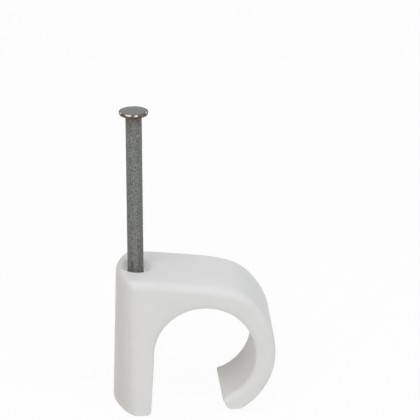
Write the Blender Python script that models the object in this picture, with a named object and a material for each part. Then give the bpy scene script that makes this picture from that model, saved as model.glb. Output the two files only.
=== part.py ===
"""Nail-in clip for round cable.

One moulded plastic clip, a post that opens into a hook over the cable, and the hardened steel nail
that stands ready in the post. Metres, +Z up. The wall face of the foot lies on Z = 0, the cable runs
along Y, and the origin is under the middle of the clip.
"""

import math

import bmesh
import bpy
from mathutils import Vector

# Cable space
CABLE_RADIUS = 0.00634
CABLE_STAND_OFF = 0.00167
CLIP_WIDTH = 0.0098

# Hook: its wall, and how its outside swells towards the deck in tangent arcs
HOOK_WALL = 0.00241
OUTSIDE_RISE = 0.00013
SIDE_RADIUS_MORE = 0.00095
SHOULDER_RADIUS_LESS = 0.00232
ROOF_RADIUS_MORE = 0.01373
SIDE_START_DEG = -20.0
SIDE_END_DEG = 45.0
SHOULDER_END_DEG = 75.0
DECK_FALL_DEG = 5.86
SEAT_FALL_DEG = 4.5
FRONT_FALL_DEG = 1.2
SEAT_MARGIN = 0.0008

# Hook tip: the cut end and the flat underside that stops short of the wall
TIP_END_DEG = -71.5
TIP_CUT_DEG = -61.0
TIP_LIFT = 0.00062
TIP_INNER_ROUND = 0.00030
TIP_OUTER_ROUND = 0.00090
TIP_HEEL_ROUND = 0.0021
TIP_SKEW = 0.00014

# Post round the nail: its web towards the cable, its bowed nose and its draft
POST_WEB = 0.00096
MOUTH_DRAFT_DEG = 3.4
NOSE_WALL = 0.00198
NOSE_DRAFT_DEG = 1.87
NOSE_FULLNESS_FOOT = 1.6
NOSE_FULLNESS_DECK = 3.0
NOSE_TOP_ROUND = 0.00125
NOSE_END_SHARE = 0.996
NOSE_FOOT_ROUND = 0.0011
FOOT_ROUND = 0.00055

# Rounded edges where the outline meets the front and rear faces
DECK_EDGE = 0.0012
HOLE_EDGE = 0.00045
FACE_EDGE_SHARE = 0.93
FACE_EDGE = TIP_INNER_ROUND * FACE_EDGE_SHARE
REAR_EDGE = FACE_EDGE

# Nail and its seat
SHANK_RADIUS = 0.0010
NAIL_LENGTH = 0.0350
NAIL_STAND_OUT = 0.02042
HEAD_RADIUS = 0.001825
HEAD_THICKNESS = 0.00042
HEAD_RIM_ROUND = 0.00016
NECK_HEIGHT = 0.00035
NECK_FLARE = 0.00045
POINT_HALF_ANGLE_DEG = 20.0
BORE_CLEARANCE = 0.00005
SEAT_CLEARANCE = 0.00019
SEAT_LIP = 0.00030
SEAT_SLOPE_DEG = 40.0
SEAT_FOOT = 0.00020

# Facets
ARC_STEP_DEG = 6.0
RIM_STEPS = 4
LIP_STEPS = 4
CORNER_STEPS = 5
EDGE_STEPS = 5
NOSE_STEPS = 8
ROUND_FACETS = 48
CUT_OVERRUN = 0.001
MITRE_LIMIT = 2.0
SMOOTH_LIMIT_DEG = 30.0
MERGE_DISTANCE = 0.0000001

BORE_RADIUS = SHANK_RADIUS + BORE_CLEARANCE
HOOK_X = BORE_RADIUS + POST_WEB + CABLE_RADIUS
HOOK_Z = CABLE_RADIUS + CABLE_STAND_OFF
HOOK_OUTSIDE = CABLE_RADIUS + HOOK_WALL
NOSE_FOOT_DEPTH = BORE_RADIUS + NOSE_WALL
HALF_WIDTH = CLIP_WIDTH / 2


def heading(degrees):
    """Unit vector in the front plane, as (x, z)."""
    return Vector((math.cos(math.radians(degrees)), math.sin(math.radians(degrees))))


def arc(centre, radius, start_deg, end_deg, steps=None):
    """Points on an arc, both ends included."""
    count = steps or max(2, math.ceil(abs(end_deg - start_deg) / ARC_STEP_DEG))
    turn = (end_deg - start_deg) / count
    return [centre + radius * heading(start_deg + turn * i) for i in range(count + 1)]


def direction_deg(vector):
    return math.degrees(math.atan2(vector.y, vector.x))


def rounded_corner(before, corner, after, radius):
    """An arc that takes the place of a corner between two straight runs."""
    back = (before - corner).normalized()
    ahead = (after - corner).normalized()
    half = back.angle(ahead) / 2
    centre = corner + (back + ahead).normalized() * (radius / math.sin(half))
    reach = radius / math.tan(half)
    start = direction_deg(corner + back * reach - centre)
    end = direction_deg(corner + ahead * reach - centre)
    sweep = (end - start + 180) % 360 - 180
    return arc(centre, radius, start, start + sweep, CORNER_STEPS)


def outside_arcs(hook):
    """The hook's outside from the heel of its tip up to the deck, each arc tangent to the last."""
    heel_z = TIP_LIFT + TIP_HEEL_ROUND
    heel_reach = HOOK_OUTSIDE - TIP_HEEL_ROUND
    heel = Vector((hook.x + math.sqrt(heel_reach ** 2 - (heel_z - hook.y) ** 2), heel_z))
    heel_end = direction_deg(heel - hook)
    points = arc(heel, TIP_HEEL_ROUND, -90.0, heel_end)
    points += arc(hook, HOOK_OUTSIDE, heel_end, SIDE_START_DEG)[1:]
    bends = [
        (HOOK_OUTSIDE + SIDE_RADIUS_MORE, SIDE_START_DEG, SIDE_END_DEG),
        (HOOK_OUTSIDE - SHOULDER_RADIUS_LESS, SIDE_END_DEG, SHOULDER_END_DEG),
        (HOOK_OUTSIDE + ROOF_RADIUS_MORE, SHOULDER_END_DEG, 90.0 - DECK_FALL_DEG),
    ]
    for radius, start, end in bends:
        centre = points[-1] - radius * heading(start)
        points += arc(centre, radius, start, end)[1:]
    return points


def tip_end(hook):
    """The cut end of the hook, from the cable space round to its flat underside."""
    corner = hook + CABLE_RADIUS * heading(TIP_END_DEG)
    cut = heading(TIP_CUT_DEG)
    into = Vector((-cut.y, cut.x))
    start = corner + into * TIP_INNER_ROUND - hook
    along = start.dot(cut)
    reach = (CABLE_RADIUS + TIP_INNER_ROUND) ** 2 - start.length_squared
    shift = -along + math.sqrt(along ** 2 + reach)
    centre = hook + start + cut * shift
    inner_start = direction_deg(hook - centre)
    inner = arc(centre, TIP_INNER_ROUND, inner_start, TIP_CUT_DEG + 270.0, CORNER_STEPS)
    toe = corner + cut * ((TIP_LIFT - corner.y) / cut.y)
    outer = rounded_corner(inner[-1], toe, toe + Vector((1.0, 0.0)), TIP_OUTER_ROUND)
    return inner, outer


def clip_outline():
    """The clip's outline at mid-width, anticlockwise from the front, as (x, z) from the nail's axis.

    Also gives the runs of points that make the hook's tip and the tip's inner corner, and the height
    of the deck at the nail.
    """
    hook = Vector((HOOK_X, HOOK_Z))
    mouth_deg = 180.0 + MOUTH_DRAFT_DEG
    mouth_top = hook + CABLE_RADIUS * heading(mouth_deg)
    post_foot = Vector((mouth_top.x - mouth_top.y * math.tan(math.radians(MOUTH_DRAFT_DEG)), 0.0))
    nose_foot = Vector((-NOSE_FOOT_DEPTH, 0.0))
    outside = outside_arcs(hook + Vector((0.0, OUTSIDE_RISE)))
    fall = math.tan(math.radians(DECK_FALL_DEG))
    seat_fall = math.tan(math.radians(SEAT_FALL_DEG))
    lean = math.tan(math.radians(NOSE_DRAFT_DEG))
    seat_end_x = HEAD_RADIUS + SEAT_CLEARANCE + SEAT_MARGIN
    seat_end = Vector((seat_end_x, outside[-1].y + fall * (outside[-1].x - seat_end_x)))
    deck_zero = seat_end.y + seat_fall * seat_end_x
    nose_height = (deck_zero + seat_fall * NOSE_FOOT_DEPTH) / (1 + seat_fall * lean)
    nose_top = Vector((lean * nose_height - NOSE_FOOT_DEPTH, nose_height))
    inner, outer = tip_end(hook)
    bore_end = direction_deg(inner[0] - hook)
    points = rounded_corner(nose_top, nose_foot, post_foot, NOSE_FOOT_ROUND)
    points += rounded_corner(nose_foot, post_foot, mouth_top, FOOT_ROUND)
    points += arc(hook, CABLE_RADIUS, mouth_deg, bore_end)[:-1]
    tip = range(len(points), len(points) + len(inner) + len(outer))
    tip_corner = range(len(points), len(points) + len(inner))
    points += inner + outer + outside
    points += [seat_end, Vector((0.0, deck_zero))]
    points += rounded_corner(seat_end, nose_top, nose_foot, NOSE_TOP_ROUND)
    return points, tip, tip_corner, deck_zero


def outward_normals(points):
    """Outward direction at each point of an anticlockwise outline."""
    normals = []
    for i, point in enumerate(points):
        before = (point - points[i - 1]).normalized()
        after = (points[(i + 1) % len(points)] - point).normalized()
        run = (before + after).normalized()
        normals.append(Vector((run.y, -run.x)) * min(1 / run.dot(before), MITRE_LIMIT))
    return normals


def front_edge(point, normal):
    """Radius of the front edge: full on the deck, easing down the side, small round the cable space."""
    if (point - Vector((HOOK_X, HOOK_Z))).length < HOOK_OUTSIDE - HOOK_WALL / 2:
        return HOLE_EDGE
    lift = max(normal.normalized().y, 0.0) ** 2
    return FACE_EDGE + (DECK_EDGE - FACE_EDGE) * lift * lift * (3 - 2 * lift)


def edge_inset(across, front_radius):
    """How far the rounded front or rear edge has drawn the outline in at this distance from mid-width."""
    radius = front_radius if across < 0 else REAR_EDGE
    past = abs(across) - (HALF_WIDTH - radius)
    return radius - math.sqrt(max(radius ** 2 - max(past, 0.0) ** 2, 0.0))


def nose_share(across, height_share):
    """Depth of the bowed nose at this distance from mid-width, as a share of its full depth.

    The nose is pointed in plan at the foot and squarer at the deck.
    """
    fullness = NOSE_FULLNESS_FOOT + (NOSE_FULLNESS_DECK - NOSE_FULLNESS_FOOT) * height_share
    return math.sqrt(1 - (NOSE_END_SHARE * abs(across) / HALF_WIDTH) ** fullness)


def section(points, normals, tip, tip_corner, deck_zero, across):
    """The outline at one distance from mid-width, as 3-D points.

    The deck falls a little to the front, and the tip is cut a little askew. The edge of the cable
    space slides the tip's corner along its cut end.
    """
    seat_fall = math.tan(math.radians(SEAT_FALL_DEG))
    front_fall = math.tan(math.radians(FRONT_FALL_DEG))
    ring = []
    for i, (point, normal) in enumerate(zip(points, normals)):
        if i in tip_corner:
            drawn = heading(TIP_CUT_DEG) * edge_inset(across, HOLE_EDGE)
            drawn += heading(TIP_CUT_DEG + 90.0) * edge_inset(across, FACE_EDGE)
        else:
            drawn = -normal * edge_inset(across, front_edge(point, normal))
        x = point.x + drawn.x
        z = point.y + drawn.y + front_fall * across * point.y / deck_zero
        if point.x < 0:
            height_share = point.y / deck_zero
            x = point.x * nose_share(across, height_share)
            z += seat_fall * (point.x - x) * height_share
        if i in tip:
            x -= TIP_SKEW * across / HALF_WIDTH
        ring.append(Vector((x, across, z)))
    return ring


def stations():
    """Distances from mid-width of the clip's sections, close together where its edges turn."""
    front = HALF_WIDTH - DECK_EDGE
    rear = HALF_WIDTH - REAR_EDGE
    turns = [math.sin(math.pi / 2 * i / EDGE_STEPS) for i in range(1, EDGE_STEPS + 1)]
    middle = [(front + rear) * i / NOSE_STEPS - front for i in range(NOSE_STEPS + 1)]
    front_turn = [-front - DECK_EDGE * t for t in reversed(turns)]
    return front_turn + middle + [rear + REAR_EDGE * t for t in turns]


def new_object(name, bm, material, location):
    bmesh.ops.recalc_face_normals(bm, faces=bm.faces)
    mesh = bpy.data.meshes.new(name)
    bm.to_mesh(mesh)
    bm.free()
    mesh.shade_smooth()
    mesh.set_sharp_from_angle(angle=math.radians(SMOOTH_LIMIT_DEG))
    if material:
        mesh.materials.append(material)
    thing = bpy.data.objects.new(name, mesh)
    thing.location = location
    bpy.context.scene.collection.objects.link(thing)
    return thing


def turned(profile):
    """A solid of revolution about Z from an (r, z) profile that starts and ends on the axis."""
    bm = bmesh.new()
    verts = [bm.verts.new((r, 0.0, z)) for r, z in profile]
    edges = [bm.edges.new(pair) for pair in zip(verts, verts[1:])]
    bmesh.ops.spin(bm, geom=verts + edges, cent=(0, 0, 0), axis=(0, 0, 1), angle=math.tau,
                   steps=ROUND_FACETS, use_merge=True)
    bmesh.ops.remove_doubles(bm, verts=bm.verts, dist=MERGE_DISTANCE)
    return bm


def principled(name, colour, roughness, metallic):
    material = bpy.data.materials.new(name)
    material.use_nodes = True
    shader = material.node_tree.nodes["Principled BSDF"]
    shader.inputs["Base Color"].default_value = (*colour, 1.0)
    shader.inputs["Roughness"].default_value = roughness
    shader.inputs["Metallic"].default_value = metallic
    return material


def use_cutter(target, cutter, operation):
    """Adds an exact boolean and keeps the cutter out of sight."""
    cutter.hide_render = True
    cutter.display_type = "WIRE"
    modifier = target.modifiers.new(cutter.name, "BOOLEAN")
    modifier.operation = operation
    modifier.solver = "EXACT"
    modifier.object = cutter


def seat_profile(deck_zero):
    """Bore for the shank, and the countersink with a rounded lip that the head sinks into."""
    slope = math.radians(SEAT_SLOPE_DEG)
    foot_radius = BORE_RADIUS + SEAT_FOOT
    cone_top = Vector((HEAD_RADIUS + SEAT_CLEARANCE, deck_zero - SEAT_LIP * (1 - math.cos(slope))))
    lip_centre = cone_top + SEAT_LIP * Vector((math.sin(slope), -math.cos(slope)))
    foot_z = cone_top.y - (cone_top.x - foot_radius) * math.tan(slope)
    lip = arc(lip_centre, SEAT_LIP, 90.0 + SEAT_SLOPE_DEG, 90.0, LIP_STEPS)
    clear_radius = lip[-1].x + SEAT_LIP
    top = deck_zero + CUT_OVERRUN
    profile = [(0.0, -CUT_OVERRUN), (BORE_RADIUS, -CUT_OVERRUN)]
    profile += [(BORE_RADIUS, foot_z), (foot_radius, foot_z)]
    profile += [tuple(p) for p in lip[:-1]]
    return profile + [(clear_radius, deck_zero + SEAT_LIP / 2), (clear_radius, top), (0.0, top)]


def make_seat_cutter(deck_zero, location):
    """The cutter leans with the deck, but its bore stays upright."""
    bm = turned(seat_profile(deck_zero))
    seat_fall = math.tan(math.radians(SEAT_FALL_DEG))
    front_fall = math.tan(math.radians(FRONT_FALL_DEG))
    for vert in bm.verts:
        vert.co.z += (front_fall * vert.co.y - seat_fall * vert.co.x) * vert.co.z / deck_zero
    return new_object("seat_cutter", bm, None, location)


def make_clip(points, tip, tip_corner, deck_zero, location):
    """The moulding, lofted through its sections, with the nail's seat cut through the post."""
    bm = bmesh.new()
    normals = outward_normals(points)
    rings = []
    for across in stations():
        ring = section(points, normals, tip, tip_corner, deck_zero, across)
        rings.append([bm.verts.new(p) for p in ring])
    for near, far in zip(rings, rings[1:]):
        for i in range(len(near)):
            bm.faces.new((near[i - 1], near[i], far[i], far[i - 1]))
    bm.faces.new(rings[0])
    bm.faces.new(reversed(rings[-1]))
    white = principled("moulded_white_plastic", (0.80, 0.80, 0.79), 0.42, 0.0)
    clip = new_object("clip_body", bm, white, location)
    use_cutter(clip, make_seat_cutter(deck_zero, location), "DIFFERENCE")
    return clip


def make_nail(deck_zero, axis_x):
    """Flat-headed nail with a four-sided point; its origin is under its head, on its axis."""
    rim = [(HEAD_RADIUS - HEAD_RIM_ROUND + HEAD_RIM_ROUND * math.cos(a),
            HEAD_THICKNESS - HEAD_RIM_ROUND + HEAD_RIM_ROUND * math.sin(a))
           for a in (math.pi / 2 * (1 - i / RIM_STEPS) for i in range(RIM_STEPS + 1))]
    shank_end = HEAD_THICKNESS - NAIL_LENGTH
    profile = [(0.0, HEAD_THICKNESS)] + rim
    profile += [(HEAD_RADIUS - HEAD_RIM_ROUND / 2, 0.0), (SHANK_RADIUS + NECK_FLARE, 0.0)]
    profile += [(SHANK_RADIUS, -NECK_HEIGHT), (SHANK_RADIUS, shank_end), (0.0, shank_end)]
    location = Vector((axis_x, 0.0, deck_zero + NAIL_STAND_OUT - HEAD_THICKNESS))
    steel = principled("bright_hardened_steel", (0.30, 0.31, 0.30), 0.45, 1.0)
    nail = new_object("nail", turned(profile), steel, location)

    height = NAIL_LENGTH + CUT_OVERRUN
    base = height * math.tan(math.radians(POINT_HALF_ANGLE_DEG)) * math.sqrt(2)
    bm = bmesh.new()
    bmesh.ops.create_cone(bm, cap_ends=True, segments=4, radius1=0.0, radius2=base, depth=height)
    bmesh.ops.translate(bm, verts=bm.verts, vec=(0.0, 0.0, shank_end + height / 2))
    bmesh.ops.remove_doubles(bm, verts=bm.verts, dist=MERGE_DISTANCE)
    use_cutter(nail, new_object("point_cutter", bm, None, location), "INTERSECT")
    return nail


def main():
    for thing in list(bpy.data.objects):
        bpy.data.objects.remove(thing, do_unlink=True)
    points, tip, tip_corner, deck_zero = clip_outline()
    axis_x = -(min(p.x for p in points) + max(p.x for p in points)) / 2
    make_clip(points, tip, tip_corner, deck_zero, Vector((axis_x, 0.0, 0.0)))
    make_nail(deck_zero, axis_x)


main()
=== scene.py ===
"""Nail-in cable clip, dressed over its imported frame: a satin white moulding and its steel nail.

Metres, +Z up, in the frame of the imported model. Both visible pieces are finer builds of the CAD
solids, with softened edges and procedural materials.
"""

import math

import bmesh
import bpy
from mathutils import Matrix, Vector


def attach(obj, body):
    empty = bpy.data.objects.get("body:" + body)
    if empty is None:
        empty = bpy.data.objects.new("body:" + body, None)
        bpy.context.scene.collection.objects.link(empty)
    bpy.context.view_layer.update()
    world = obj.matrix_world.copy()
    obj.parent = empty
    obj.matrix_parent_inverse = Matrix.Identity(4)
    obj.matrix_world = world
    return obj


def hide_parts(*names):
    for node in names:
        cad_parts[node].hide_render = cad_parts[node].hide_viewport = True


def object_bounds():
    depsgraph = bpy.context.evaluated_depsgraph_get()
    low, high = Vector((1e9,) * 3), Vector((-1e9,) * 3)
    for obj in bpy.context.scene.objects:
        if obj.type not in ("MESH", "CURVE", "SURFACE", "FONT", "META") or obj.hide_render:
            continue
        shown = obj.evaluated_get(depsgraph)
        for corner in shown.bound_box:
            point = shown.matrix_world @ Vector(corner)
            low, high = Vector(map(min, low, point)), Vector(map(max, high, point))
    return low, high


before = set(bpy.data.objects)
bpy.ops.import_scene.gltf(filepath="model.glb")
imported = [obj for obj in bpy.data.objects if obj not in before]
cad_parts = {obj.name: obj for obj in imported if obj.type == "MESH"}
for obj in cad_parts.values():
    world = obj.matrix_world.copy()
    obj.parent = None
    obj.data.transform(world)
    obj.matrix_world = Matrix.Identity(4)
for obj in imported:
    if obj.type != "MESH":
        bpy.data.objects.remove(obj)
cad_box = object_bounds()

# Cable space, hook and cut tip, as in the CAD but for a tighter round at the heel
CABLE_RADIUS = 0.00634
CABLE_STAND_OFF = 0.00167
CLIP_WIDTH = 0.0098
HOOK_WALL = 0.00241
OUTSIDE_RISE = 0.00013
SIDE_RADIUS_MORE = 0.00095
SHOULDER_RADIUS_LESS = 0.00232
ROOF_RADIUS_MORE = 0.01373
SIDE_START_DEG = -20.0
SIDE_END_DEG = 45.0
SHOULDER_END_DEG = 75.0
DECK_FALL_DEG = 5.86
SEAT_FALL_DEG = 4.5
SEAT_MARGIN = 0.0008
TIP_END_DEG = -71.5
TIP_CUT_DEG = -61.0
TIP_LIFT = 0.00062
TIP_INNER_ROUND = 0.00030
TIP_OUTER_ROUND = 0.00090
TIP_HEEL_ROUND = 0.0018
TIP_SKEW = 0.00014

# Crown of the deck across the width: mean fall from rear edge to nail, and from nail to front edge
REAR_HALF_FALL_DEG = 1.2
FRONT_HALF_FALL_DEG = 4.4

# Post and nose
POST_WEB = 0.00096
MOUTH_DRAFT_DEG = 3.4
NOSE_WALL = 0.00198
NOSE_DRAFT_DEG = 1.87
NOSE_FULLNESS_FOOT = 1.6
NOSE_FULLNESS_DECK = 3.0
NOSE_TOP_ROUND = 0.00125
NOSE_END_SHARE = 0.996
NOSE_FOOT_ROUND = 0.0011
FOOT_ROUND = 0.00055

# Rounded edges: how far each reaches over the face, and how deep into the width
DECK_EDGE = (0.00100, 0.00100)
SIDE_EDGE = (0.00080, 0.00025)
FOOT_EDGE = (0.00012, 0.00012)
HOLE_EDGE = (0.00110, 0.00030)
ARM_EDGE = (0.00100, 0.00080)
TIP_EDGE = (0.00062, 0.00080)
REAR_EDGE = (0.00028, 0.00028)

# Nail and its seat, as in the CAD but for a crisper lip
SHANK_RADIUS = 0.0010
NAIL_LENGTH = 0.0350
NAIL_STAND_OUT = 0.02042
HEAD_RADIUS = 0.001825
HEAD_THICKNESS = 0.00042
HEAD_RIM_ROUND = 0.00016
NECK_HEIGHT = 0.00035
NECK_FLARE = 0.00045
POINT_HALF_ANGLE_DEG = 20.0
BORE_CLEARANCE = 0.00005
SEAT_CLEARANCE = 0.00019
SEAT_LIP = 0.00015
SEAT_SLOPE_DEG = 40.0
SEAT_FOOT = 0.00020

# Fineness of the visible meshes
ARC_STEP_DEG = 1.8
CORNER_STEPS = 10
EDGE_STEPS = 14
WIDTH_STEPS = 30
ROUND_FACETS = 128
RIM_STEPS = 8
LIP_STEPS = 6
CUT_OVERRUN = 0.001
SMOOTH_LIMIT_DEG = 32.0
MERGE_DISTANCE = 0.0000001

# Marks in the plastic and the zinc: their size in millimetres, and their height in metres. The
# mould's grain and the zinc's specks are finer than this on the real part, and drawn coarser so
# that they show. The seed and the patch size together set where the zinc's tone drifts and where
# the painted highlights, glints painted bright on the nail's rim, fall.
FLOW_CLOUD_MM = 3.846
FLOW_SWELL = 0.00004
MOULD_GRAIN_MM = 1 / 9
GRAIN_HEIGHT = 0.000003
ZINC_SPECK_MM = 0.2
SPECK_HEIGHT = 0.00001
WEAR_AND_GLINT_PATCH_MM = 2 / 3
WEAR_AND_GLINT_SEED = 11.0

# Camera, fitted to the photograph
IMAGE_SIZE = 420
FOCAL_PIXELS = 2737.8
SENSOR_MM = 36.0
VIEW_AZIMUTH_DEG = -3.262
VIEW_ELEVATION_DEG = 21.461
VIEW_ROLL_DEG = -0.140
VIEW_DISTANCE = 0.340
AIM_HEIGHT = 0.01983
AIM_RIGHT = 0.009281
AIM_UP = 0.005560
NEAREST_SEEN = 0.01
FARTHEST_SEEN = 5.0

# Studio: a wide box overhead and weaker ones round the part, all aimed at one height. Each has
# its azimuth, elevation, size, watts and colour.
SOFTBOX_DISTANCE = 0.5
SOFTBOX_AIM_HEIGHT = 0.012
SOFTBOXES = [
    ("overhead", -5.0, 75.0, 0.40, 0.87, "eaf3ff"),
    ("low_front", 0.0, 2.0, 0.40, 0.75, "fdfeff"),
    ("front_left", -40.0, 45.0, 0.30, 0.54, "fff9ee"),
    ("front_right", 40.0, 45.0, 0.30, 0.69, "f8fbff"),
    ("back_left", -140.0, 45.0, 0.35, 0.28, "fff6ea"),
    ("back_right", 140.0, 45.0, 0.35, 0.40, "f8fbff"),
]
WORLD_LIGHT = 0.11
WORLD_COLOUR = "ffecc9"
FLOOR_COLOUR = "fafafa"
FLOOR_WHITE = 0.94
FLOOR_HALF_SIZE = 0.6
FLOOR_GAP = 0.0001

BORE_RADIUS = SHANK_RADIUS + BORE_CLEARANCE
HOOK_X = BORE_RADIUS + POST_WEB + CABLE_RADIUS
HOOK_Z = CABLE_RADIUS + CABLE_STAND_OFF
HOOK_OUTSIDE = CABLE_RADIUS + HOOK_WALL
NOSE_FOOT_DEPTH = BORE_RADIUS + NOSE_WALL
HALF_WIDTH = CLIP_WIDTH / 2


# Outline of the clip

def heading(degrees):
    """Unit vector in the front plane, as (x, z)."""
    return Vector((math.cos(math.radians(degrees)), math.sin(math.radians(degrees))))


def arc(centre, radius, start_deg, end_deg, steps=None):
    """Points on an arc, both ends included."""
    count = steps or max(2, math.ceil(abs(end_deg - start_deg) / ARC_STEP_DEG))
    turn = (end_deg - start_deg) / count
    return [centre + radius * heading(start_deg + turn * i) for i in range(count + 1)]


def direction_deg(vector):
    """Heading of a vector in the front plane, in degrees."""
    return math.degrees(math.atan2(vector.y, vector.x))


def rounded_corner(before, corner, after, radius):
    """An arc that takes the place of a corner between two straight runs."""
    back = (before - corner).normalized()
    ahead = (after - corner).normalized()
    half = back.angle(ahead) / 2
    centre = corner + (back + ahead).normalized() * (radius / math.sin(half))
    reach = radius / math.tan(half)
    start = direction_deg(corner + back * reach - centre)
    end = direction_deg(corner + ahead * reach - centre)
    sweep = (end - start + 180) % 360 - 180
    return arc(centre, radius, start, start + sweep, CORNER_STEPS)


def outside_arcs(hook):
    """The hook's outside from the heel of its tip up to the deck, each arc tangent to the last."""
    heel_z = TIP_LIFT + TIP_HEEL_ROUND
    heel_reach = HOOK_OUTSIDE - TIP_HEEL_ROUND
    heel = Vector((hook.x + math.sqrt(heel_reach ** 2 - (heel_z - hook.y) ** 2), heel_z))
    heel_end = direction_deg(heel - hook)
    points = arc(heel, TIP_HEEL_ROUND, -90.0, heel_end)
    points += arc(hook, HOOK_OUTSIDE, heel_end, SIDE_START_DEG)[1:]
    bends = [
        (HOOK_OUTSIDE + SIDE_RADIUS_MORE, SIDE_START_DEG, SIDE_END_DEG),
        (HOOK_OUTSIDE - SHOULDER_RADIUS_LESS, SIDE_END_DEG, SHOULDER_END_DEG),
        (HOOK_OUTSIDE + ROOF_RADIUS_MORE, SHOULDER_END_DEG, 90.0 - DECK_FALL_DEG),
    ]
    for radius, start, end in bends:
        centre = points[-1] - radius * heading(start)
        points += arc(centre, radius, start, end)[1:]
    return points


def tip_end(hook):
    """The cut end of the hook, from the cable space round to its flat underside."""
    corner = hook + CABLE_RADIUS * heading(TIP_END_DEG)
    cut = heading(TIP_CUT_DEG)
    into = Vector((-cut.y, cut.x))
    start = corner + into * TIP_INNER_ROUND - hook
    along = start.dot(cut)
    reach = (CABLE_RADIUS + TIP_INNER_ROUND) ** 2 - start.length_squared
    shift = -along + math.sqrt(along ** 2 + reach)
    centre = hook + start + cut * shift
    inner_start = direction_deg(hook - centre)
    inner = arc(centre, TIP_INNER_ROUND, inner_start, TIP_CUT_DEG + 270.0, CORNER_STEPS)
    toe = corner + cut * ((TIP_LIFT - corner.y) / cut.y)
    outer = rounded_corner(inner[-1], toe, toe + Vector((1.0, 0.0)), TIP_OUTER_ROUND)
    return inner, outer


def clip_outline():
    """Outline at mid-width as (x, z) from the nail's axis, anticlockwise from the nose's foot.

    Also the places of its tip points, those of the tip's inner corner, and the deck's height at
    the nail.
    """
    hook = Vector((HOOK_X, HOOK_Z))
    mouth_deg = 180.0 + MOUTH_DRAFT_DEG
    mouth_top = hook + CABLE_RADIUS * heading(mouth_deg)
    post_foot = Vector((mouth_top.x - mouth_top.y * math.tan(math.radians(MOUTH_DRAFT_DEG)), 0.0))
    nose_foot = Vector((-NOSE_FOOT_DEPTH, 0.0))
    outside = outside_arcs(hook + Vector((0.0, OUTSIDE_RISE)))
    fall = math.tan(math.radians(DECK_FALL_DEG))
    seat_fall = math.tan(math.radians(SEAT_FALL_DEG))
    lean = math.tan(math.radians(NOSE_DRAFT_DEG))
    seat_end_x = HEAD_RADIUS + SEAT_CLEARANCE + SEAT_MARGIN
    seat_end = Vector((seat_end_x, outside[-1].y + fall * (outside[-1].x - seat_end_x)))
    deck_zero = seat_end.y + seat_fall * seat_end_x
    nose_height = (deck_zero + seat_fall * NOSE_FOOT_DEPTH) / (1 + seat_fall * lean)
    nose_top = Vector((lean * nose_height - NOSE_FOOT_DEPTH, nose_height))
    inner, outer = tip_end(hook)
    bore_end = direction_deg(inner[0] - hook)
    points = rounded_corner(nose_top, nose_foot, post_foot, NOSE_FOOT_ROUND)
    points += rounded_corner(nose_foot, post_foot, mouth_top, FOOT_ROUND)
    points += arc(hook, CABLE_RADIUS, mouth_deg, bore_end)[:-1]
    tip = range(len(points), len(points) + len(inner) + len(outer))
    tip_corner = range(len(points), len(points) + len(inner))
    points += inner + outer + outside
    points += [seat_end, Vector((0.0, deck_zero))]
    points += rounded_corner(seat_end, nose_top, nose_foot, NOSE_TOP_ROUND)
    return points, tip, tip_corner, deck_zero


def outward_normals(points):
    """Outward direction at each point of an anticlockwise outline."""
    normals = []
    for i, point in enumerate(points):
        before = (point - points[i - 1]).normalized()
        after = (points[(i + 1) % len(points)] - point).normalized()
        run = (before + after).normalized()
        normals.append(Vector((run.y, -run.x)) / run.dot(before))
    return normals


def blend(first, second, share):
    """Eases from the first pair of sizes to the second as the share goes from 0 to 1."""
    share = min(max(share, 0.0), 1.0)
    return Vector(first).lerp(Vector(second), share * share * (3 - 2 * share))


def in_hole(point):
    """Whether a point of the outline is on the inside of the hook."""
    return (point - Vector((HOOK_X, HOOK_Z))).length < HOOK_OUTSIDE - HOOK_WALL / 2


def tip_share(point):
    """Rises from 0 to 1 over the last stretch of the cable space before the tip."""
    turn = direction_deg(point - Vector((HOOK_X, HOOK_Z)))
    return max(TIP_CUT_DEG - turn, 0.0) / (TIP_CUT_DEG - TIP_END_DEG) if turn > -90.0 else 0.0


def front_edge(point, normal):
    """The front edge's two sizes at a point of the outline, eased from one run to the next."""
    up = normal.normalized().y
    if in_hole(point):
        return blend(HOLE_EDGE, blend(ARM_EDGE, TIP_EDGE, tip_share(point)), up)
    side = blend(FOOT_EDGE, SIDE_EDGE, 2 * (1 + up)) if point.x > HOOK_X else FOOT_EDGE
    return blend(side, DECK_EDGE, up)


def edge_place(row, front):
    """Distance from mid-width, and how far the rounded edge has drawn the outline in, on a row."""
    part, share = row
    if part == 0:
        low, high = front[1] - HALF_WIDTH, HALF_WIDTH - REAR_EDGE[1]
        return low + (high - low) * share, 0.0
    over, deep = front if part < 0 else REAR_EDGE
    lean = math.pi / 2 * math.sin(math.pi / 2 * share)
    turn = math.atan2(deep * math.sin(lean), over * math.cos(lean))
    return part * (HALF_WIDTH - deep + deep * math.sin(turn)), over * (1 - math.cos(turn))


def deck_lean(across):
    """Rise of the deck at this distance from mid-width: level at the nail, then curving down to the
    front edge and a little up to the rear one, by these mean angles."""
    fall = REAR_HALF_FALL_DEG if across > 0 else FRONT_HALF_FALL_DEG
    return across * abs(across) / HALF_WIDTH * math.tan(math.radians(fall))


def nose_share(across, height_share):
    """Depth of the bowed nose at this distance from mid-width, as a share of its full depth."""
    fullness = NOSE_FULLNESS_FOOT + (NOSE_FULLNESS_DECK - NOSE_FULLNESS_FOOT) * height_share
    return math.sqrt(1 - (NOSE_END_SHARE * abs(across) / HALF_WIDTH) ** fullness)


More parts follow.
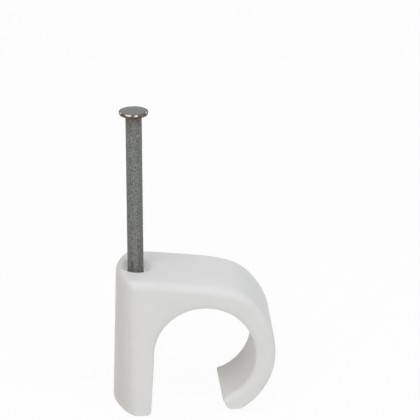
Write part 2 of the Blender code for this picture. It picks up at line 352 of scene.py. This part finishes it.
def section(points, normals, tip, tip_corner, deck_zero, row):
    """The outline on one row across the width, as 3-D points.

    The deck is crowned, and the tip is cut a little askew. The rounded edge of the cable space
    slides the tip's inner corner along the cut.
    """
    seat_fall = math.tan(math.radians(SEAT_FALL_DEG))
    ring = []
    for i, (point, normal) in enumerate(zip(points, normals)):
        near_tip = 1.0 if i in tip_corner else tip_share(point) if in_hole(point) else 0.0
        if i in tip:
            front = TIP_EDGE if i in tip_corner else FOOT_EDGE
        else:
            front = front_edge(point, normal)
        across, inset = edge_place(row, front)
        if near_tip > 0:
            into = near_tip * (FOOT_EDGE[0] / TIP_EDGE[0] if across < 0 else 1.0)
            drawn = inset * (heading(TIP_CUT_DEG) + heading(TIP_CUT_DEG + 90.0) * into)
        else:
            drawn = -normal * inset
        x = point.x + drawn.x
        z = point.y + drawn.y
        if not in_hole(point):
            z += deck_lean(across) * point.y / deck_zero
        if point.x < 0:
            height_share = point.y / deck_zero
            x = point.x * nose_share(across, height_share)
            z += seat_fall * (point.x - x) * height_share
        if i in tip:
            x -= TIP_SKEW * across / HALF_WIDTH
        ring.append(Vector((x, across, z)))
    return ring


def width_rows():
    """Rows of the loft from front to rear: -1, 0 or 1 for front edge, middle or rear edge, and the
    share of that part, close together where the nose turns into the faces."""
    turns = [i / EDGE_STEPS for i in range(1, EDGE_STEPS + 1)]
    middle = [(1 - math.cos(math.pi * i / WIDTH_STEPS)) / 2 for i in range(WIDTH_STEPS + 1)]
    return [(-1, t) for t in reversed(turns)] + [(0, t) for t in middle] + [(1, t) for t in turns]


# Meshes

def new_object(name, bm):
    """An object in the scene from a mesh under construction, with its faces turned outward."""
    bmesh.ops.recalc_face_normals(bm, faces=bm.faces)
    mesh = bpy.data.meshes.new(name)
    bm.to_mesh(mesh)
    bm.free()
    thing = bpy.data.objects.new(name, mesh)
    bpy.context.scene.collection.objects.link(thing)
    return thing


def turned(profile):
    """A solid of revolution about Z from an (r, z) profile that starts and ends on the axis."""
    bm = bmesh.new()
    verts = [bm.verts.new((r, 0.0, z)) for r, z in profile]
    edges = [bm.edges.new(pair) for pair in zip(verts, verts[1:])]
    bmesh.ops.spin(bm, geom=verts + edges, cent=(0, 0, 0), axis=(0, 0, 1), angle=math.tau,
                   steps=ROUND_FACETS, use_merge=True)
    bmesh.ops.remove_doubles(bm, verts=bm.verts, dist=MERGE_DISTANCE)
    return bm


def cut(target, cutter, operation):
    """Applies an exact boolean to the target, joins the points that it leaves in one place, and
    removes the cutter."""
    modifier = target.modifiers.new("cut", "BOOLEAN")
    modifier.operation = operation
    modifier.solver = "EXACT"
    modifier.object = cutter
    bake(target)
    bpy.data.objects.remove(cutter)
    bm = bmesh.new()
    bm.from_mesh(target.data)
    bmesh.ops.remove_doubles(bm, verts=bm.verts, dist=MERGE_DISTANCE)
    bmesh.ops.dissolve_degenerate(bm, edges=bm.edges, dist=MERGE_DISTANCE)
    bm.to_mesh(target.data)
    bm.free()


def bake(target):
    """Applies every modifier on the target."""
    bpy.context.view_layer.update()
    depsgraph = bpy.context.evaluated_depsgraph_get()
    mesh = bpy.data.meshes.new_from_object(target.evaluated_get(depsgraph), depsgraph=depsgraph)
    target.modifiers.clear()
    target.data = mesh


def keep_inside(thing, place):
    """Holds this finer skin within the box of the CAD, whose facets cut its curves short."""
    low, high = (Vector(corner) - place for corner in cad_box)
    for vert in thing.data.vertices:
        vert.co = [min(max(c, a), b) for c, a, b in zip(vert.co, low, high)]


def smooth(target):
    """Smooth shading that keeps the broad flat faces flat."""
    target.data.shade_smooth()
    target.data.set_sharp_from_angle(angle=math.radians(SMOOTH_LIMIT_DEG))
    modifier = target.modifiers.new("weighted", "WEIGHTED_NORMAL")
    modifier.keep_sharp = True
    bake(target)


def seat_profile(deck_zero):
    """Bore for the shank, and the countersink with a rounded lip that the head sinks into."""
    slope = math.radians(SEAT_SLOPE_DEG)
    foot_radius = BORE_RADIUS + SEAT_FOOT
    cone_top = Vector((HEAD_RADIUS + SEAT_CLEARANCE, deck_zero - SEAT_LIP * (1 - math.cos(slope))))
    lip_centre = cone_top + SEAT_LIP * Vector((math.sin(slope), -math.cos(slope)))
    foot_z = cone_top.y - (cone_top.x - foot_radius) * math.tan(slope)
    lip = arc(lip_centre, SEAT_LIP, 90.0 + SEAT_SLOPE_DEG, 90.0, LIP_STEPS)
    clear_radius = lip[-1].x + SEAT_LIP
    top = deck_zero + CUT_OVERRUN
    profile = [(0.0, -CUT_OVERRUN), (BORE_RADIUS, -CUT_OVERRUN)]
    profile += [(BORE_RADIUS, foot_z), (foot_radius, foot_z)]
    profile += [tuple(p) for p in lip[:-1]]
    return profile + [(clear_radius, deck_zero + SEAT_LIP / 2), (clear_radius, top), (0.0, top)]


def make_seat_cutter(deck_zero):
    """The cutter leans with the deck, but its bore stays upright."""
    bm = turned(seat_profile(deck_zero))
    seat_fall = math.tan(math.radians(SEAT_FALL_DEG))
    for vert in bm.verts:
        vert.co.z += (deck_lean(vert.co.y) - seat_fall * vert.co.x) * vert.co.z / deck_zero
    return new_object("seat_cutter", bm)


def make_clip(points, tip, tip_corner, deck_zero, place):
    """The moulding, lofted through its sections, with bore and countersink cut in its post."""
    bm = bmesh.new()
    normals = outward_normals(points)
    rings = []
    for row in width_rows():
        ring = section(points, normals, tip, tip_corner, deck_zero, row)
        rings.append([bm.verts.new(p) for p in ring])
    for near, far in zip(rings, rings[1:]):
        for i in range(len(near)):
            bm.faces.new((near[i - 1], near[i], far[i], far[i - 1]))
    bm.faces.new(rings[0])
    bm.faces.new(reversed(rings[-1]))
    clip = new_object("moulded_clip", bm)

    cut(clip, make_seat_cutter(deck_zero), "DIFFERENCE")
    keep_inside(clip, place)
    smooth(clip)
    clip.data.transform(Matrix.Translation(place))
    return clip


def make_nail(place):
    """Flat-headed nail with a four-sided point; its origin is under its head, on its axis."""
    rim_centre = Vector((HEAD_RADIUS - HEAD_RIM_ROUND, HEAD_THICKNESS - HEAD_RIM_ROUND))
    rim = arc(rim_centre, HEAD_RIM_ROUND, 90.0, 0.0, RIM_STEPS)
    shank_end = HEAD_THICKNESS - NAIL_LENGTH
    profile = [(0.0, HEAD_THICKNESS)] + [tuple(p) for p in rim]
    profile += [(HEAD_RADIUS - HEAD_RIM_ROUND / 2, 0.0), (SHANK_RADIUS + NECK_FLARE, 0.0)]
    profile += [(SHANK_RADIUS, -NECK_HEIGHT), (SHANK_RADIUS, shank_end), (0.0, shank_end)]
    nail = new_object("steel_nail", turned(profile))

    height = NAIL_LENGTH + CUT_OVERRUN
    base = height * math.tan(math.radians(POINT_HALF_ANGLE_DEG)) * math.sqrt(2)
    bm = bmesh.new()
    bmesh.ops.create_cone(bm, cap_ends=True, segments=4, radius1=0.0, radius2=base, depth=height)
    bmesh.ops.translate(bm, verts=bm.verts, vec=(0.0, 0.0, shank_end + height / 2))
    bmesh.ops.remove_doubles(bm, verts=bm.verts, dist=MERGE_DISTANCE)
    cut(nail, new_object("point_cutter", bm), "INTERSECT")
    keep_inside(nail, place)
    smooth(nail)
    nail.location = place
    return nail


# Materials

def srgb(code):
    """Linear colour from an sRGB hex code."""
    channels = [int(code[i:i + 2], 16) / 255 for i in (0, 2, 4)]
    return [c / 12.92 if c <= 0.04045 else ((c + 0.055) / 1.055) ** 2.4 for c in channels] + [1.0]


def per_metre(size_mm):
    """Scale of a noise whose marks have this size in millimetres."""
    return 1000.0 / size_mm


def add_node(tree, kind, inputs=(), **settings):
    """A node with its properties set and its inputs filled: a socket is linked, a value is set.

    Inputs go by name, or by number where two share a name, as in a mix.
    """
    node = tree.nodes.new(kind)
    for name, value in settings.items():
        setattr(node, name, value)
    for name, value in dict(inputs).items():
        if isinstance(value, bpy.types.NodeSocket):
            tree.links.new(value, node.inputs[name])
        else:
            node.inputs[name].default_value = value
    return node


def new_material(name):
    """A material with its node tree and its shader."""
    material = bpy.data.materials.new(name)
    material.use_nodes = True
    tree = material.node_tree
    return material, tree, tree.nodes["Principled BSDF"]


def dress(tree, shader, colour, roughness, normal):
    """Links the worked-out colour, roughness and bumped normal to the shader."""
    tree.links.new(colour, shader.inputs["Base Color"])
    tree.links.new(roughness, shader.inputs["Roughness"])
    tree.links.new(normal, shader.inputs["Normal"])


def moulded_plastic():
    """White nylon, moulded and left as it came out: a satin white with broad, soft highlights.

    Slow clouds of tone, gloss and level show where it flowed, and a very fine grain is the mould's.
    """
    material, tree, shader = new_material("white_nylon_satin_moulded")
    place = add_node(tree, "ShaderNodeTexCoord").outputs["Object"]
    cloud = add_node(tree, "ShaderNodeTexNoise", {
        "Vector": place, "Scale": per_metre(FLOW_CLOUD_MM), "Detail": 3.0}).outputs["Fac"]
    grain = add_node(tree, "ShaderNodeTexNoise", {
        "Vector": place, "Scale": per_metre(MOULD_GRAIN_MM), "Detail": 2.0}).outputs["Fac"]
    tone = add_node(tree, "ShaderNodeMix", {
        0: cloud, 6: srgb("dddddd"), 7: srgb("e3e3e3")}, data_type="RGBA")
    gloss = add_node(tree, "ShaderNodeMapRange", {"Value": cloud, "To Min": 0.34, "To Max": 0.42})
    swell = add_node(tree, "ShaderNodeBump", {
        "Strength": 0.35, "Distance": FLOW_SWELL, "Height": cloud})
    bump = add_node(tree, "ShaderNodeBump", {
        "Strength": 0.5, "Distance": GRAIN_HEIGHT, "Height": grain,
        "Normal": swell.outputs["Normal"]})
    dress(tree, shader, tone.outputs[2], gloss.outputs[0], bump.outputs["Normal"])
    shader.inputs["IOR"].default_value = 1.5
    shader.inputs["Specular IOR Level"].default_value = 0.35
    return material


def zinc_steel():
    """Hardened steel, thinly zinc plated: a dull grey metal with blurred highlights.

    The shank is speckled and rough, the flat of the head smoother, and the shank is painted darker
    just under the head as a painted shade. The head's rim is painted dark, a painted reflection,
    with bright patches that are painted highlights, and brown below, where the coat is thin.
    """
    material, tree, shader = new_material("hardened_steel_dull_zinc")
    place = add_node(tree, "ShaderNodeTexCoord").outputs["Object"]
    speck = add_node(tree, "ShaderNodeTexNoise", {
        "Vector": place, "Scale": per_metre(ZINC_SPECK_MM), "Detail": 3.0,
        "Roughness": 0.6}).outputs["Fac"]
    # noise for the zinc's drifting tone and for the painted highlights on the rim
    wear_and_glints = add_node(tree, "ShaderNodeTexNoise", {
        "Vector": place, "W": WEAR_AND_GLINT_SEED, "Scale": per_metre(WEAR_AND_GLINT_PATCH_MM),
        "Detail": 2.0}, noise_dimensions="4D").outputs["Fac"]
    height = add_node(tree, "ShaderNodeSeparateXYZ", {"Vector": place}).outputs["Z"]
    flat = add_node(tree, "ShaderNodeVectorMath", {
        0: place, 1: (1.0, 1.0, 0.0)}, operation="MULTIPLY").outputs["Vector"]
    radius = add_node(tree, "ShaderNodeVectorMath", {0: flat}, operation="LENGTH").outputs["Value"]

    # Where each tone lies: none of it at the first value, and the share that ends the line at the
    # second. Heights are from under the head.
    rim_start = HEAD_RADIUS - 2 * HEAD_RIM_ROUND
    rim_bend = HEAD_RADIUS - HEAD_RIM_ROUND
    rim_middle = HEAD_THICKNESS - 0.8 * HEAD_RIM_ROUND
    rim_low = HEAD_THICKNESS - 1.6 * HEAD_RIM_ROUND
    places = [
        ("speckled", speck, 0.36, 0.64, 1.0),
        ("drifting", wear_and_glints, 0.40, 0.60, 0.2),
        # painted highlights: bright glints on the rim wherever this noise is high
        ("painted_glints", wear_and_glints, 0.52, 0.56, 1.0),
        # painted shade: the shank darkens just under the head, in place of the head's shadow
        ("painted_shade_under_head", height, -4 * NECK_HEIGHT, -1.5 * NECK_HEIGHT, 0.4),
        ("on_head", height, -NECK_HEIGHT / 3, 0.0, 1.0),
        # the rim's tones reach in over the head's top, so the painted dark ring, a painted
        # reflection, shows near its edge
        ("on_rim", radius, rim_start, rim_bend, 1.0),
        ("low_on_rim", height, rim_middle, rim_low, 1.0),
    ]
    masks = {}
    for name, value, none, full, share in places:
        masks[name] = add_node(tree, "ShaderNodeMapRange", {
            "Value": value, "From Min": none, "From Max": full, "To Max": share}).outputs[0]

    # Each layer lays its last tone over the one before, where its place says. A tone is a colour
    # or an earlier layer.
    layers = [
        ("zinc", "speckled", "60625e", "929490"),
        ("dull_zinc", "drifting", "zinc", "76726c"),
        # painted shade under the head, laid over the shank's zinc
        ("shank", "painted_shade_under_head", "dull_zinc", "5c564c"),
        ("head_top", "speckled", "5c5f5e", "6c6f6e"),
        # the rim painted dark as a painted reflection of dark surroundings, with painted highlights
        # laid over it
        ("rim_painted_dark_and_glints", "painted_glints", "4c4e4e", "acacaa"),
        ("rim", "low_on_rim", "rim_painted_dark_and_glints", "6b5240"),
        ("head", "on_rim", "head_top", "rim"),
        ("nail", "on_head", "shank", "head"),
    ]
    tones = {}
    for name, where, *pair in layers:
        under, over = (tones[tone] if tone in tones else srgb(tone) for tone in pair)
        mix = add_node(tree, "ShaderNodeMix", {
            0: masks[where], 6: under, 7: over}, data_type="RGBA")
        tones[name] = mix.outputs[2]

    # Roughness of the shank and of the head
    rough = add_node(tree, "ShaderNodeMix", {0: masks["on_head"], 2: 0.68, 3: 0.30})
    bump = add_node(tree, "ShaderNodeBump", {
        "Strength": 0.5, "Distance": SPECK_HEIGHT, "Height": speck})
    dress(tree, shader, tones["nail"], rough.outputs[0], bump.outputs["Normal"])
    shader.inputs["Metallic"].default_value = 1.0
    return material


# Studio

def white_to_camera(tree, shader_output, strength, white_kind):
    """Mixes in plain white for camera, glossy and transmission rays, by the strength given."""
    ray = add_node(tree, "ShaderNodeLightPath").outputs
    seen = add_node(tree, "ShaderNodeMath", {
        0: ray["Is Camera Ray"], 1: ray["Is Glossy Ray"]}, operation="ADD")
    seen = add_node(tree, "ShaderNodeMath", {
        0: seen.outputs[0], 1: ray["Is Transmission Ray"]}, operation="ADD", use_clamp=True)
    share = add_node(tree, "ShaderNodeMath", {
        0: seen.outputs[0], 1: strength}, operation="MULTIPLY")
    white = add_node(tree, white_kind, {"Color": (1.0, 1.0, 1.0, 1.0), "Strength": 1.0})
    return add_node(tree, "ShaderNodeMixShader", {
        0: share.outputs[0], 1: shader_output, 2: white.outputs[0]})


def make_world():
    """A faint warm light from all round, which the camera sees as plain white."""
    world = bpy.data.worlds.new("studio")
    bpy.context.scene.world = world
    world.use_nodes = True
    tree = world.node_tree
    tree.nodes.clear()
    light = add_node(tree, "ShaderNodeBackground", {
        "Color": srgb(WORLD_COLOUR), "Strength": WORLD_LIGHT})
    mixed = white_to_camera(tree, light.outputs[0], 1.0, "ShaderNodeBackground")
    add_node(tree, "ShaderNodeOutputWorld", {"Surface": mixed.outputs[0]})


def make_floor():
    """Plain pale floor, just below the wall face, that keeps the object's shadow."""
    bm = bmesh.new()
    bmesh.ops.create_grid(bm, x_segments=1, y_segments=1, size=FLOOR_HALF_SIZE)
    floor = new_object("floor", bm)
    material, tree, shader = new_material("pale_floor_matte")
    shader.inputs["Base Color"].default_value = srgb(FLOOR_COLOUR)
    shader.inputs["Roughness"].default_value = 0.9
    shader.inputs["Specular IOR Level"].default_value = 0.0
    mixed = white_to_camera(tree, shader.outputs[0], FLOOR_WHITE, "ShaderNodeEmission")
    tree.links.new(mixed.outputs[0], tree.nodes["Material Output"].inputs["Surface"])
    floor.data.materials.append(material)
    floor.location = (0.0, 0.0, -FLOOR_GAP)


def way_out(azimuth_deg, elevation_deg):
    """Unit vector from the part to a camera or lamp; azimuth 0 is in front, 90 on the right."""
    azimuth, elevation = math.radians(azimuth_deg), math.radians(elevation_deg)
    return Vector((math.sin(azimuth) * math.cos(elevation),
                   -math.cos(azimuth) * math.cos(elevation), math.sin(elevation)))


def make_softbox(name, azimuth_deg, elevation_deg, size, watts, colour):
    """A square soft light that looks at the clip."""
    light = bpy.data.lights.new(name, "AREA")
    light.shape = "SQUARE"
    light.size = size
    light.energy = watts
    light.color = srgb(colour)[:3]
    lamp = bpy.data.objects.new(name, light)
    way = way_out(azimuth_deg, elevation_deg)
    lamp.location = Vector((0.0, 0.0, SOFTBOX_AIM_HEIGHT)) + way * SOFTBOX_DISTANCE
    lamp.rotation_euler = way.to_track_quat("Z", "Y").to_euler()
    bpy.context.scene.collection.objects.link(lamp)


def make_camera(axis_x):
    """The camera of the photograph, placed from the nail's axis."""
    azimuth, roll = math.radians(VIEW_AZIMUTH_DEG), math.radians(VIEW_ROLL_DEG)
    back = way_out(VIEW_AZIMUTH_DEG, VIEW_ELEVATION_DEG)
    right = Vector((math.cos(azimuth), math.sin(azimuth), 0.0))
    up = back.cross(right)
    turned_right = math.cos(roll) * right + math.sin(roll) * up
    turned_up = math.cos(roll) * up - math.sin(roll) * right
    target = Vector((axis_x, 0.0, AIM_HEIGHT)) + AIM_RIGHT * right + AIM_UP * up
    camera_data = bpy.data.cameras.new("camera")
    camera_data.sensor_width = SENSOR_MM
    camera_data.lens = FOCAL_PIXELS / IMAGE_SIZE * SENSOR_MM
    camera_data.clip_start = NEAREST_SEEN
    camera_data.clip_end = FARTHEST_SEEN
    camera = bpy.data.objects.new("camera", camera_data)
    turn = Matrix((turned_right, turned_up, back)).transposed().to_4x4()
    camera.matrix_world = Matrix.Translation(target + back * VIEW_DISTANCE) @ turn
    bpy.context.scene.collection.objects.link(camera)
    bpy.context.scene.camera = camera


def main():
    """Builds the clip and its nail on the frame, then the floor, the lights and the camera."""
    points, tip, tip_corner, deck_zero = clip_outline()
    axis_x = -(min(p.x for p in points) + max(p.x for p in points)) / 2
    clip = make_clip(points, tip, tip_corner, deck_zero, Vector((axis_x, 0.0, 0.0)))
    clip.data.materials.append(moulded_plastic())
    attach(clip, "clip")
    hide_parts("clip_body")

    nail = make_nail(Vector((axis_x, 0.0, deck_zero + NAIL_STAND_OUT - HEAD_THICKNESS)))
    nail.data.materials.append(zinc_steel())
    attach(nail, "fixing")
    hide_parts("nail")

    make_floor()
    make_world()
    for softbox in SOFTBOXES:
        make_softbox(*softbox)
    make_camera(axis_x)
    bpy.context.scene.view_settings.view_transform = "Standard"


main()
